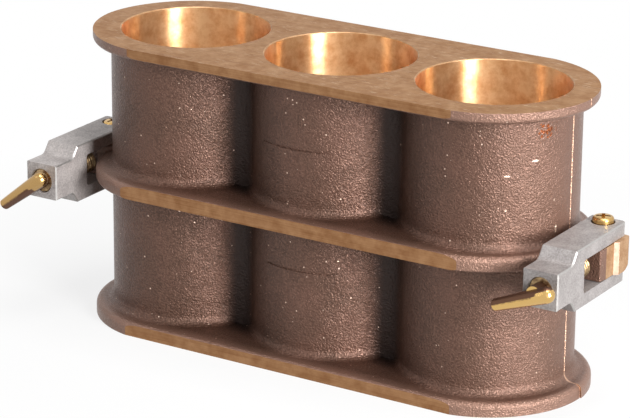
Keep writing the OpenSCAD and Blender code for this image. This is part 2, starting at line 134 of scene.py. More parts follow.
def new_material(name):
    """Makes an empty node material, and returns it with its tree and the socket of the surface's place."""
    material = bpy.data.materials.new(name)
    material.use_nodes = True
    tree = material.node_tree
    tree.nodes.clear()
    place = add_node(tree, "ShaderNodeTexCoord").outputs["Object"]
    return material, tree, place


def surface(tree, settings, links):
    """Ends a material in one Principled BSDF."""
    shader = add_node(tree, "ShaderNodeBsdfPrincipled", settings, links)
    add_node(tree, "ShaderNodeOutputMaterial", {}, {"Surface": shader.outputs["BSDF"]})


def stained_skin(tree, place, looks):
    """Colour of the oxide, with stains from the pour and from handling, one or two centimetres wide."""
    stain = add_node(
        tree, "ShaderNodeTexNoise", {"Scale": 1 / (16 * MM), "Detail": 5.0, "Roughness": 0.6},
        {"Vector": place},
    )
    tone = add_node(
        tree, "ShaderNodeMapRange", {"From Min": 0.36, "From Max": 0.64}, {"Value": stain.outputs["Fac"]}
    )
    skin = add_node(
        tree, "ShaderNodeMix",
        {"data_type": "RGBA", MIX_A: rgba(looks.skin_dark), MIX_B: rgba(looks.skin_light)},
        {MIX_FACTOR: tone.outputs["Result"]},
    )
    return skin.outputs[MIX_RESULT]


def painted_groove_shade(tree, off_middle, off_joint):
    """Painted shade: darkens the skin in the grooves between the barrels, where shade falls."""
    off_groove = add_node(tree, "ShaderNodeMath", {"operation": "SUBTRACT", 1: GROOVE_X}, {0: off_middle})
    sideways = add_node(tree, "ShaderNodeMath", {"operation": "ABSOLUTE"}, {0: off_groove.outputs["Value"]})
    in_groove = add_node(
        tree, "ShaderNodeMapRange",
        {
            "interpolation_type": "SMOOTHSTEP",
            "From Min": 2 * MM, "From Max": 7 * MM, "To Min": 1.0, "To Max": 0.0,
        },
        {"Value": sideways.outputs["Value"]},
    )
    deep = add_node(
        tree, "ShaderNodeMapRange",
        {"From Min": 14 * MM, "From Max": 24 * MM, "To Min": 1.0, "To Max": 0.0}, {"Value": off_joint},
    )
    groove_shade = add_node(
        tree, "ShaderNodeMath", {"operation": "MULTIPLY"},
        {0: in_groove.outputs["Result"], 1: deep.outputs["Result"]},
    )
    return groove_shade.outputs["Value"]


def painted_rim_and_end_light(tree, along, off_middle, off_joint):
    """Painted highlight along the flanges' rims, and painted light over the right end."""
    past_bore = add_node(tree, "ShaderNodeMath", {"operation": "SUBTRACT", 1: OUTER_BORE_X}, {0: off_middle})
    beyond = add_node(
        tree, "ShaderNodeMath", {"operation": "MAXIMUM", 1: 0.0}, {0: past_bore.outputs["Value"]}
    )
    off_axes = add_node(tree, "ShaderNodeCombineXYZ", {}, {"X": beyond.outputs["Value"], "Y": off_joint})
    outwards = add_node(
        tree, "ShaderNodeVectorMath", {"operation": "LENGTH"}, {0: off_axes.outputs["Vector"]}
    )
    # Painted highlight along the rims, where the light catches the rounded flange edges
    rim = add_node(
        tree, "ShaderNodeMapRange",
        {"From Min": FLANGE_REACH - 6 * MM, "From Max": FLANGE_REACH - 1 * MM, "To Max": 0.7},
        {"Value": outwards.outputs["Value"]},
    )
    # The lugs lie beyond the rims, and don't get the rims' painted highlight
    off_lugs = add_node(
        tree, "ShaderNodeMath", {"operation": "LESS_THAN", 1: FLANGE_END + 0.3 * MM}, {0: off_middle}
    )
    rim_highlight = add_node(
        tree, "ShaderNodeMath", {"operation": "MULTIPLY"},
        {0: rim.outputs["Result"], 1: off_lugs.outputs["Value"]},
    )
    # Painted light: the right end is painted a little lighter all over, where the light falls brighter
    right_end_light = add_node(
        tree, "ShaderNodeMapRange", {"From Min": 62 * MM, "From Max": 86 * MM, "To Max": 0.34},
        {"Value": along},
    )
    # One mask holding the rims' painted highlight and the right end's painted light
    rubbed = add_node(
        tree, "ShaderNodeMath", {"operation": "MAXIMUM"},
        {0: rim_highlight.outputs["Value"], 1: right_end_light.outputs["Result"]},
    )
    return rubbed.outputs["Value"]


def knocks_and_painted_glints(tree, place, grain):
    """Painted glints in small light specks, and bare metal in the knocks from handling."""
    cells = add_node(tree, "ShaderNodeTexVoronoi", {"Scale": 1 / (2.2 * MM)}, {"Vector": place})
    # Only the cells with a light random colour hold a painted glint, and its size follows that colour
    reach = add_node(
        tree, "ShaderNodeMapRange", {"From Min": 0.5, "From Max": 0.85, "To Max": 0.13},
        {"Value": cells.outputs["Color"]},
    )
    inside = add_node(
        tree, "ShaderNodeMath", {"operation": "SUBTRACT"},
        {0: reach.outputs["Result"], 1: cells.outputs["Distance"]},
    )
    glint_speck = add_node(
        tree, "ShaderNodeMapRange", {"From Min": -0.01, "From Max": 0.02, "To Max": 0.9},
        {"Value": inside.outputs["Value"]},
    )
    bare = glint_speck.outputs["Result"]
    for middle, turn, half in KNOCKS:
        near = add_node(
            tree, "ShaderNodeMapping",
            {"vector_type": "TEXTURE", "Location": middle, "Rotation": (0, 0, turn), "Scale": half},
            {"Vector": place},
        )
        off_knock = add_node(
            tree, "ShaderNodeVectorMath", {"operation": "LENGTH"}, {0: near.outputs["Vector"]}
        )
        # The grain makes a knock's outline ragged
        ragged = add_node(
            tree, "ShaderNodeMath", {"operation": "MULTIPLY_ADD", 1: 0.8},
            {0: grain, 2: off_knock.outputs["Value"]},
        )
        knocked = add_node(
            tree, "ShaderNodeMapRange", {"From Min": 1.2, "From Max": 1.5, "To Min": 1.0, "To Max": 0.0},
            {"Value": ragged.outputs["Value"]},
        )
        bare = add_node(
            tree, "ShaderNodeMath", {"operation": "MAXIMUM"}, {0: bare, 1: knocked.outputs["Result"]}
        ).outputs["Value"]
    return bare


def joint_line(tree, off_joint, waves):
    """The halves meet in a thin line that handling keeps bright, a little uneven as the edges are cast."""
    uneven = add_node(
        tree, "ShaderNodeMath", {"operation": "MULTIPLY_ADD", 1: 0.9 * MM}, {0: waves, 2: off_joint}
    )
    joint = add_node(
        tree, "ShaderNodeMapRange",
        {"From Min": 0.68 * MM, "From Max": 0.86 * MM, "To Min": 0.9, "To Max": 0.0},
        {"Value": uneven.outputs["Value"]},
    )
    return joint.outputs["Result"]


def gas_pores(tree, place):
    """Gas pores under the top flange's rim, open to bare metal: close at the middle, thinner around it."""
    near = add_node(
        tree, "ShaderNodeMapping", {"vector_type": "TEXTURE", "Location": PORES_MIDDLE, "Scale": PORES_HALF},
        {"Vector": place},
    )
    off_patch = add_node(tree, "ShaderNodeVectorMath", {"operation": "LENGTH"}, {0: near.outputs["Vector"]})
    spread = add_node(
        tree, "ShaderNodeMapRange", {"From Min": 0.8, "From Max": 5.0, "To Min": 0.7, "To Max": 0.0},
        {"Value": off_patch.outputs["Value"]},
    )
    bubbles = add_node(tree, "ShaderNodeTexVoronoi", {"Scale": 1 / (1.1 * MM)}, {"Vector": place})
    inside = add_node(
        tree, "ShaderNodeMath", {"operation": "SUBTRACT"},
        {0: spread.outputs["Result"], 1: bubbles.outputs["Distance"]},
    )
    pores = add_node(
        tree, "ShaderNodeMapRange", {"From Min": 0.1, "From Max": 0.2}, {"Value": inside.outputs["Value"]}
    )
    return pores.outputs["Result"]


def sand_cast_bronze(looks):
    """Tin bronze as it comes from a sand mould: a dark oxidised skin, wrinkled by the grains of the sand."""
    material, tree, place = new_material("sand_cast_bronze")
    # The sand leaves wrinkles about a grain wide. A fine sand's grain is half as wide or less, too fine
    # to show in the render, so it is drawn as coarse as it needs to show
    grain = add_node(
        tree, "ShaderNodeTexNoise", {"Scale": 1 / looks.grain_size, "Detail": 2.0, "Roughness": 0.6},
        {"Vector": place},
    ).outputs["Fac"]
    # Slow waves, where the rammed sand gave way
    waves = add_node(
        tree, "ShaderNodeTexNoise", {"Scale": 1 / (5 * MM), "Detail": 2.0, "Roughness": 0.5},
        {"Vector": place},
    ).outputs["Fac"]
    height = add_node(
        tree, "ShaderNodeMath", {"operation": "MULTIPLY_ADD", 1: 0.8}, {0: waves, 2: grain}
    )
    axes = add_node(tree, "ShaderNodeSeparateXYZ", {}, {"Vector": place}).outputs
    off_middle, off_joint = (
        add_node(tree, "ShaderNodeMath", {"operation": "ABSOLUTE"}, {0: axes[axis]}).outputs["Value"]
        for axis in ("X", "Y")
    )
    # Painted highlight on the grain: the crests of the wrinkles are painted lighter than their hollows, as if
    # they caught the light
    grain_highlight = add_node(
        tree, "ShaderNodeMapRange", {"From Min": 0.38, "From Max": 0.72, "To Max": 0.42}, {"Value": grain}
    ).outputs["Result"]
    bare = knocks_and_painted_glints(tree, place, grain)
    joint = joint_line(tree, off_joint, waves)
    pores = gas_pores(tree, place)

    # Each layer lies over the ones before it
    color = stained_skin(tree, place, looks)
    for cover, layer in (
        # Painted highlight on the crests of the grain
        (grain_highlight, looks.skin_highlight),
        # Painted highlight on the flange rims, and painted light over the right end
        (painted_rim_and_end_light(tree, axes["X"], off_middle, off_joint), looks.skin_highlight),
        # Painted shade in the grooves between the barrels
        (painted_groove_shade(tree, off_middle, off_joint), looks.skin_groove_shade),
        # Painted glints in small specks, and bare metal in the real knocks
        (bare, looks.bare),
        (joint, looks.joint),
        (pores, looks.pore),
    ):
        color = add_node(
            tree, "ShaderNodeMix", {"data_type": "RGBA", MIX_B: rgba(layer)},
            {MIX_FACTOR: cover, MIX_A: color},
        ).outputs[MIX_RESULT]

    # The oxide is thin enough to let the metal shine through, most of all on the crests of the wrinkles,
    # under the painted highlight
    metal = add_node(
        tree, "ShaderNodeMath", {"operation": "MULTIPLY_ADD", 1: 0.6, 2: 0.4}, {0: grain_highlight}
    ).outputs["Value"]
    for shiny_mask in (bare, joint, pores):
        metal = add_node(
            tree, "ShaderNodeMath", {"operation": "MAXIMUM"}, {0: metal, 1: shiny_mask}
        ).outputs["Value"]
    gloss = add_node(
        tree, "ShaderNodeMapRange", {"From Min": 0.3, "From Max": 0.7, "To Min": 0.4, "To Max": 0.28},
        {"Value": grain},
    )
    bump = add_node(
        tree, "ShaderNodeBump", {"Distance": looks.grain_depth}, {"Height": height.outputs["Value"]}
    )
    surface(
        tree, {"Specular IOR Level": 0.55},
        {
            "Base Color": color, "Metallic": metal,
            "Roughness": gloss.outputs["Result"], "Normal": bump.outputs["Normal"],
        },
    )
    return material


def milled_bronze(looks, name, dark, light, scratches=0.0):
    """Bronze faced on a milling machine: tan and satin, with faint tool marks along it, and scratches."""
    material, tree, place = new_material(name)
    # The cutter's marks are 0.45 mm wide, drawn out along the travel of the table
    travel = add_node(
        tree, "ShaderNodeMapping", {"Scale": (1 / (30 * MM), 1 / (0.45 * MM), 1 / (0.45 * MM))},
        {"Vector": place},
    )
    marks = add_node(
        tree, "ShaderNodeTexNoise", {"Scale": 1.0, "Detail": 2.0, "Roughness": 0.6},
        {"Vector": travel.outputs["Vector"]},
    )
    # A thin film has grown in patches a few millimetres wide
    film = add_node(
        tree, "ShaderNodeTexNoise", {"Scale": 1 / (4.5 * MM), "Detail": 6.0, "Roughness": 0.65},
        {"Vector": place},
    )
    mixed = add_node(
        tree, "ShaderNodeMath", {"operation": "MULTIPLY_ADD", 1: 0.6},
        {0: marks.outputs["Fac"], 2: film.outputs["Fac"]},
    )
    tone = add_node(
        tree, "ShaderNodeMapRange", {"From Min": 0.6, "From Max": 1.0}, {"Value": mixed.outputs["Value"]}
    )
    color = add_node(
        tree, "ShaderNodeMix", {"data_type": "RGBA", MIX_A: rgba(dark), MIX_B: rgba(light)},
        {MIX_FACTOR: tone.outputs["Result"]},
    )
    # Short fresh scratches, where tools were laid down, lie askew to the marks
    askew = add_node(
        tree, "ShaderNodeMapping",
        {"Rotation": (0, 0, 0.5), "Scale": (1 / (4 * MM), 1 / (0.3 * MM), 1 / (4 * MM))}, {"Vector": place},
    )
    strokes = add_node(
        tree, "ShaderNodeTexNoise", {"Scale": 1.0, "Detail": 1.0}, {"Vector": askew.outputs["Vector"]}
    )
    scratch = add_node(
        tree, "ShaderNodeMapRange", {"From Min": 0.68, "From Max": 0.76, "To Max": scratches},
        {"Value": strokes.outputs["Fac"]},
    )
    scratched = add_node(
        tree, "ShaderNodeMix", {"data_type": "RGBA", MIX_B: rgba(looks.scratch)},
        {MIX_FACTOR: scratch.outputs["Result"], MIX_A: color.outputs[MIX_RESULT]},
    )
    gloss = add_node(
        tree, "ShaderNodeMapRange", {"From Min": 0.3, "From Max": 0.7, "To Min": 0.5, "To Max": 0.36},
        {"Value": film.outputs["Fac"]},
    )
    bump = add_node(
        tree, "ShaderNodeBump", {"Strength": 0.5, "Distance": 0.04 * MM}, {"Height": mixed.outputs["Value"]}
    )
    surface(
        tree, {"Metallic": 0.6},
        {
            "Base Color": scratched.outputs[MIX_RESULT],
            "Roughness": gloss.outputs["Result"], "Normal": bump.outputs["Normal"],
        },
    )
    return material


def bored_bronze(looks):
    """Bronze bored with a single point: rings round the bore draw each reflection into an upright streak."""
    material, tree, place = new_material("bored_bronze")
    # The feed marks run round the bore, so the pattern changes fast only along the axis. They are about
    # 0.25 mm wide, too fine to show in the render, so they are drawn twice as coarse
    rings_place = add_node(
        tree, "ShaderNodeMapping", {"Scale": (1 / (25 * MM), 1 / (25 * MM), 1 / (0.5 * MM))},
        {"Vector": place},
    )
    rings = add_node(
        tree, "ShaderNodeTexNoise", {"Scale": 1.0, "Detail": 2.0}, {"Vector": rings_place.outputs["Vector"]}
    )
    # Cement has left stains some millimetres wide
    stain = add_node(
        tree, "ShaderNodeTexNoise", {"Scale": 1 / (5 * MM), "Detail": 7.0, "Roughness": 0.7},
        {"Vector": place},
    )
    tone = add_node(
        tree, "ShaderNodeMapRange", {"From Min": 0.4, "From Max": 0.66}, {"Value": stain.outputs["Fac"]}
    )
    color = add_node(
        tree, "ShaderNodeMix",
        {"data_type": "RGBA", MIX_A: rgba(looks.bored_light), MIX_B: rgba(looks.bored_dark)},
        {MIX_FACTOR: tone.outputs["Result"]},
    )
    bump = add_node(
        tree, "ShaderNodeBump", {"Strength": 0.4, "Distance": 0.015 * MM}, {"Height": rings.outputs["Fac"]}
    )
    # The highlight is drawn out along the bore's axis
    along_bore = add_node(tree, "ShaderNodeCombineXYZ", {"Z": 1.0})
    surface(
        tree, {"Metallic": 1.0, "Roughness": 0.4, "Anisotropic": 1.0},
        {
            "Base Color": color.outputs[MIX_RESULT],
            "Normal": bump.outputs["Normal"], "Tangent": along_bore.outputs["Vector"],
        },
    )
    return material


def filed_bronze(looks):
    """Bronze edge broken with a file: fresh bright metal, the brightest on the mould."""
    material, tree, place = new_material("filed_bronze")
    # The strokes of the file vary the gloss about every millimetre
    strokes = add_node(
        tree, "ShaderNodeTexNoise", {"Scale": 1 / (1.2 * MM), "Detail": 2.0}, {"Vector": place}
    )
    gloss = add_node(
        tree, "ShaderNodeMapRange", {"From Min": 0.3, "From Max": 0.7, "To Min": 0.24, "To Max": 0.4},
        {"Value": strokes.outputs["Fac"]},
    )
    surface(tree, {"Base Color": rgba(looks.filed), "Metallic": 0.9}, {"Roughness": gloss.outputs["Result"]})
    return material


def tumbled_aluminium(name, dark, light):
    """Cast aluminium, tumbled with stones: pale grey and matt, with a fine mottle of small dents."""
    material, tree, place = new_material(name)
    # The stones leave dents of about 0.6 mm
    dents = add_node(
        tree, "ShaderNodeTexNoise", {"Scale": 1 / (0.6 * MM), "Detail": 3.0, "Roughness": 0.6},
        {"Vector": place},
    )
    # Handling has greyed it in clouds some millimetres wide
    clouds = add_node(tree, "ShaderNodeTexNoise", {"Scale": 1 / (5 * MM), "Detail": 3.0}, {"Vector": place})
    mixed = add_node(
        tree, "ShaderNodeMath", {"operation": "MULTIPLY_ADD", 1: 0.6},
        {0: clouds.outputs["Fac"], 2: dents.outputs["Fac"]},
    )
    tone = add_node(
        tree, "ShaderNodeMapRange", {"From Min": 0.6, "From Max": 1.0}, {"Value": mixed.outputs["Value"]}
    )
    color = add_node(
        tree, "ShaderNodeMix", {"data_type": "RGBA", MIX_A: rgba(dark), MIX_B: rgba(light)},
        {MIX_FACTOR: tone.outputs["Result"]},
    )
    bump = add_node(tree, "ShaderNodeBump", {"Distance": 0.09 * MM}, {"Height": dents.outputs["Fac"]})
    surface(
        tree, {"Metallic": 0.4, "Roughness": 0.5},
        {"Base Color": color.outputs[MIX_RESULT], "Normal": bump.outputs["Normal"]},
    )
    return material


def worn_aluminium(looks):
    """Aluminium edges rubbed bright by tumbling and handling."""
    material, tree, place = new_material("worn_aluminium")
    # Rubs of about a millimetre vary the gloss
    rubs = add_node(tree, "ShaderNodeTexNoise", {"Scale": 1 / (0.9 * MM), "Detail": 2.0}, {"Vector": place})
    gloss = add_node(
        tree, "ShaderNodeMapRange", {"From Min": 0.35, "From Max": 0.65, "To Min": 0.35, "To Max": 0.5},
        {"Value": rubs.outputs["Fac"]},
    )
    surface(
        tree, {"Base Color": rgba(looks.aluminium_edge), "Metallic": 0.8},
        {"Roughness": gloss.outputs["Result"]},
    )
    return material


def turned_brass(looks):
    """Yellow brass turned and buffed: bright, with a thin brownish film in patches."""
    material, tree, place = new_material("turned_brass")
    film = add_node(
        tree, "ShaderNodeTexNoise", {"Scale": 1 / (1.6 * MM), "Detail": 5.0, "Roughness": 0.65},
        {"Vector": place},
    )
    tone = add_node(
        tree, "ShaderNodeMapRange", {"From Min": 0.46, "From Max": 0.72, "To Max": 0.7},
        {"Value": film.outputs["Fac"]},
    )
    color = add_node(
        tree, "ShaderNodeMix",
        {"data_type": "RGBA", MIX_A: rgba(looks.brass_light), MIX_B: rgba(looks.brass_film)},
        {MIX_FACTOR: tone.outputs["Result"]},
    )
    gloss = add_node(
        tree, "ShaderNodeMapRange", {"From Min": 0.3, "From Max": 0.7, "To Min": 0.18, "To Max": 0.32},
        {"Value": film.outputs["Fac"]},
    )
    surface(
        tree, {"Metallic": 1.0},
        {"Base Color": color.outputs[MIX_RESULT], "Roughness": gloss.outputs["Result"]},
    )
    return material


def handled_brass(looks, name, rubbed, dark_reflection_side, heel):
    """Yellow brass in the given colour, with oxide in patches, and brown on one side: a painted dark
    reflection.
    """
    material, tree, place = new_material(name)
    # Oxide grows in patches about a millimetre wide
    film = add_node(
        tree, "ShaderNodeTexNoise", {"Scale": 1 / (1.1 * MM), "Detail": 5.0, "Roughness": 0.65},
        {"Vector": place},
    )
    # Painted dark reflection: the side whose normal faces the given direction turns brown
    toward_dark_side = add_node(
        tree, "ShaderNodeVectorMath", {"operation": "DOT_PRODUCT", 1: dark_reflection_side},
        {0: add_node(tree, "ShaderNodeNewGeometry").outputs["Normal"]},
    )
    oxide = add_node(
        tree, "ShaderNodeMath", {"operation": "MULTIPLY_ADD", 1: 0.35},
        {0: film.outputs["Fac"], 2: toward_dark_side.outputs["Value"]},
    )
    # The painted dark reflection is kept off the heel, which keeps the brass colour
    off_heel = add_node(tree, "ShaderNodeVectorMath", {"operation": "DISTANCE", 1: heel}, {0: place})
    heel_clear = add_node(
        tree, "ShaderNodeMapRange",
        {"From Min": 2.5 * MM, "From Max": 5.3 * MM, "To Min": 0.85, "To Max": 0.0},
        {"Value": off_heel.outputs["Value"]},
    )
    dark_share = add_node(
        tree, "ShaderNodeMath", {"operation": "SUBTRACT"},
        {0: oxide.outputs["Value"], 1: heel_clear.outputs["Result"]},
    )
    tone = add_node(
        tree, "ShaderNodeMapRange", {"From Min": 0.12, "From Max": 0.3}, {"Value": dark_share.outputs["Value"]}
    )
    color = add_node(
        tree, "ShaderNodeMix", {"data_type": "RGBA", MIX_A: rgba(rubbed), MIX_B: rgba(looks.brass_oxide_and_reflection)},
        {MIX_FACTOR: tone.outputs["Result"]},
    )
    gloss = add_node(
        tree, "ShaderNodeMapRange", {"To Min": 0.22, "To Max": 0.42}, {"Value": tone.outputs["Result"]}
    )
    bump = add_node(tree, "ShaderNodeBump", {"Distance": 0.02 * MM}, {"Height": film.outputs["Fac"]})
    surface(
        tree, {"Metallic": 1.0},
        {
            "Base Color": color.outputs[MIX_RESULT],
            "Roughness": gloss.outputs["Result"], "Normal": bump.outputs["Normal"],
        },
    )
    return material


def threaded_brass(looks):
    """Brass cut with a die: bright crests, and a dull film of old grease in patches."""
    material, tree, place = new_material("threaded_brass")
    grease = add_node(tree, "ShaderNodeTexNoise", {"Scale": 1 / (1.5 * MM), "Detail": 4.0}, {"Vector": place})
    tone = add_node(
        tree, "ShaderNodeMapRange", {"From Min": 0.4, "From Max": 0.65}, {"Value": grease.outputs["Fac"]}
    )
    color = add_node(
        tree, "ShaderNodeMix",
        {"data_type": "RGBA", MIX_A: rgba(looks.thread_light), MIX_B: rgba(looks.thread_dark)},
        {MIX_FACTOR: tone.outputs["Result"]},
    )
    # The crests are as far apart as on the modelled thread: at scale 1, the bands repeat every pi / 10
    crests = add_node(
        tree, "ShaderNodeTexWave", {"bands_direction": "Y", "Scale": math.pi / 10 / THREAD_PITCH},
        {"Vector": place},
    )
    bump = add_node(tree, "ShaderNodeBump", {"Distance": 0.25 * MM}, {"Height": crests.outputs["Fac"]})
    surface(
        tree, {"Metallic": 0.9, "Roughness": 0.35},
        {"Base Color": color.outputs[MIX_RESULT], "Normal": bump.outputs["Normal"]},
    )
    return material


def ground_steel(looks):
    """Hardened steel pin, ground round: pale, with fine rings."""
    material, tree, place = new_material("ground_steel")
    # The rings run round the pin, so the pattern changes fast only along it
    rings_place = add_node(
        tree, "ShaderNodeMapping", {"Scale": (1 / (9 * MM), 1 / (0.3 * MM), 1 / (9 * MM))}, {"Vector": place}
    )
    rings = add_node(
        tree, "ShaderNodeTexNoise", {"Scale": 1.0, "Detail": 2.0}, {"Vector": rings_place.outputs["Vector"]}
    )
    gloss = add_node(
        tree, "ShaderNodeMapRange", {"From Min": 0.3, "From Max": 0.7, "To Min": 0.2, "To Max": 0.35},
        {"Value": rings.outputs["Fac"]},
    )
    surface(tree, {"Base Color": rgba(looks.steel), "Metallic": 1.0}, {"Roughness": gloss.outputs["Result"]})
    return material


def finish_faces(node, base, cuts=()):
    """Gives a CAD node its base material, and each face that passes a cut's test that cut's material."""
    mesh = node.data
    mesh.materials.clear()
    for material in [base] + [material for material, _ in cuts]:
        mesh.materials.append(material)
    for face in mesh.polygons:
        face.material_index = 0
        for index, (_, test) in enumerate(cuts, start=1):
            if test(face.center, face.normal):
                face.material_index = index
                break


def from_bore_axis(point):
    """Distance of a point from the nearest bore's axis."""
    return min(math.hypot(point.x - x, point.y) for x in BORE_XS)


def is_bored(point, normal):
    """Walls of the three bores."""
    return abs(normal.z) < 0.2 and from_bore_axis(point) < BORE_RADIUS + CUT_TOLERANCE


def is_bore_rim(point, normal):
    """Chamfer at the upper mouth of each bore."""
    at_mouth = from_bore_axis(point) < BORE_RADIUS + CHAMFER_REACH and point.z > HEIGHT - MM
    return 0.2 < normal.z < 0.95 and at_mouth


def is_edge_milled(point, normal):
    """Long edges of the flanges, and the parting faces."""
    outer = point.y < FRONT_LOW.y + CUT_TOLERANCE or point.y > BACK_HIGH.y - CUT_TOLERANCE
    return abs(normal.y) > SQUARE and (outer or abs(point.y) < CUT_TOLERANCE)


def is_faced(point, normal):
    """Top and base."""
    return abs(normal.z) > SQUARE and not CUT_TOLERANCE < point.z < HEIGHT - CUT_TOLERANCE


def is_lug_milled(point, normal):
    """Flat sides and ends of the lugs."""
    on_end = abs(normal.x) > SQUARE and abs(point.x) > FRONT_HIGH.x - CUT_TOLERANCE
    on_side = abs(normal.z) > SQUARE and abs(point.x) > FLANGE_END
    return on_end or on_side


def is_filed(point, normal):
    """Upright edges of the lugs that are broken along the parting line."""
    slanted = 0.6 < abs(normal.x) < 0.8 and 0.6 < abs(normal.y) < 0.8 and abs(normal.z) < 0.1
    return slanted and abs(point.y) < FILED_REACH and abs(point.x) > FLANGE_END


def is_worn_edge(point, normal):
    """Bevels along a yoke's side edges."""
    return 0.3 < abs(normal.x) < 0.9


def swatch(name, description, hex_color):
    """A colour that a user can change."""
    return bpy.props.FloatVectorProperty(
        name=name, description=description, subtype="COLOR", default=linear(hex_color)
    )


class MouldLooks(bpy.types.PropertyGroup):
    """Colours and grain of the mould's finishes."""

    grain_size: bpy.props.FloatProperty(
        name="Sand grain", description="Size of the grain on the cast skin", default=0.6 * MM, min=0.3 * MM,
        max=3 * MM, unit="LENGTH", precision=5,
    )
    grain_depth: bpy.props.FloatProperty(
        name="Grain depth", description="Depth of the grain on the cast skin", default=0.42 * MM,
        min=0.1 * MM, max=2 * MM, unit="LENGTH", precision=5,
    )
    skin_dark: swatch("Cast skin, dark", "Oxidised bronze where it is thick", "#4e3427")
    skin_light: swatch("Cast skin, light", "Oxidised bronze where it is thin", "#614235")
    # Painted shade colour, for the grooves between the barrels
    skin_groove_shade: swatch("Sooty skin", "Oxide left in the grooves between the barrels", "#2c1e19")
    # Painted highlight colour, for the grain's crests, the flange rims and the right end
    skin_highlight: swatch("Cast skin, rubbed", "Tops of the sand grains, flange rims and right end", "#a07c6b")
    # Colour of the painted glint specks, and of the bare metal in the knocks
    bare: swatch("Bare metal", "Specks and knocks in the cast skin", "#f0d2bd")
    joint: swatch("Joint", "Line along which the halves meet", "#d9b096")
    pore: swatch("Gas pores", "Metal inside the open gas pores", "#84492a")
    faced_dark: swatch("Faced bronze, dark", "Cutter marks in the top face and the base", "#8a5a26")
    faced_light: swatch("Faced bronze, light", "Top face and base between the marks", "#a97840")
    scratch: swatch("Scratches", "Fresh scratches in the top face and the base", "#e6d2b8")
    edge_dark: swatch("Edge-milled bronze, dark", "Cutter marks in flange edges and joint faces", "#8c5f39")
    edge_light: swatch("Edge-milled bronze, light", "Flange edges, joint faces between the marks", "#ac8058")
    lug_dark: swatch("Milled lugs, dark", "Cutter marks on the lugs and the bore rims", "#a1764e")
    lug_light: swatch("Milled lugs, light", "Lugs and bore rims between the marks", "#c6a079")
    bored_light: swatch("Bored bronze, light", "Clean metal in the bores", "#f6cd9b")
    bored_dark: swatch("Bored bronze, dark", "Stained metal in the bores", "#db9f69")
    filed: swatch("Filed bronze", "Broken edges of the lugs along the parting line", "#e6bfa6")
    # The right yoke's colours are a darker copy of the aluminium: painted shade
    aluminium_shaded_dark: swatch("Aluminium, dark", "Dents of the right yoke", "#8c8684")
    aluminium_shaded_light: swatch("Aluminium, light", "Right yoke between the dents", "#b2acaa")
    # The left yoke's colours are a lighter copy of the aluminium: painted light
    aluminium_lit_dark: swatch("Clean aluminium, dark", "Dents of the left yoke", "#a09997")
    aluminium_lit_light: swatch("Clean aluminium, light", "Left yoke between the dents", "#cbc4c1")
    aluminium_edge: swatch("Aluminium, worn", "Rubbed edges of the yokes", "#b0adaa")
    # Also the right handle's side that is free of the painted dark reflection
    brass_light: swatch("Brass, light", "Pivot screws, and the right handle where it is rubbed", "#d6b06f")
    brass_film: swatch("Brass film", "Thin film on the pivot screws", "#9c7650")
    # Painted shade: a darker copy of the handle brass, for the left handle
    brass_shaded_left: swatch("Handled brass", "Left handle, where it is rubbed", "#b6935f")
    # Colour of the oxide patches and of the painted dark reflection on the handles
    brass_oxide_and_reflection: swatch("Handled brass, dark", "Oxide on the handles", "#65493a")
    thread_light: swatch("Thread, light", "Clean metal of the clamp screws", "#b59a73")
    thread_dark: swatch("Thread, dark", "Greasy metal of the clamp screws", "#6b523a")
    steel: swatch("Dowel steel", "Ground steel of the dowels", "#b9b9b6")


class StageSettings(bpy.types.PropertyGroup):
    """Camera and studio round the mould."""

    azimuth: bpy.props.FloatProperty(
        name="Azimuth", description="How far right of the front the camera stands", subtype="ANGLE",
        default=math.radians(31.8),
    )
    elevation: bpy.props.FloatProperty(
        name="Elevation", description="How far above the level the camera stands", subtype="ANGLE",
        default=math.radians(19.12),
    )
    roll: bpy.props.FloatProperty(
        name="Roll", description="Turn of the camera about its view", subtype="ANGLE",
        default=math.radians(0.54),
    )
    distance: bpy.props.FloatProperty(
        name="Distance", description="From the middle of the mould to the camera", default=1.02106,
        unit="LENGTH",
    )
    aim_right: bpy.props.FloatProperty(
        name="Aim, sideways", description="How far right of the view's axis the mould's middle lies",
        default=8.58 * MM, unit="LENGTH",
    )
    aim_up: bpy.props.FloatProperty(
        name="Aim, upwards", description="How far above the view's axis the mould's middle lies",
        default=2.09 * MM, unit="LENGTH",
    )
    lens: bpy.props.FloatProperty(name="Lens", description="Focal length in mm", default=174.42, min=20)
    paper: swatch("Paper", "Colour of the floor and the background", "#ffffff")


class MOULD_OT_half_moulds(bpy.types.Operator):
    """Finish the two half moulds: cast skin, milled faces, bored walls and filed edges"""

    bl_idname = "mould.half_moulds"
    bl_label = "Half moulds"

    def execute(self, context):
        looks = context.scene.mould_looks
        skin = sand_cast_bronze(looks)
        cuts = [
            (bored_bronze(looks), is_bored),
            (milled_bronze(looks, "rim_bronze", looks.lug_dark, looks.lug_light), is_bore_rim),
            (
                milled_bronze(looks, "faced_bronze", looks.faced_dark, looks.faced_light, FACE_SCRATCHES),
                is_faced,
            ),
            (milled_bronze(looks, "lug_milled_bronze", looks.lug_dark, looks.lug_light), is_lug_milled),
            (milled_bronze(looks, "edge_milled_bronze", looks.edge_dark, looks.edge_light), is_edge_milled),
            (filed_bronze(looks), is_filed),
        ]
        for name in ("front_half", "back_half"):
            finish_faces(NODES[name], skin, cuts)
        return {"FINISHED"}


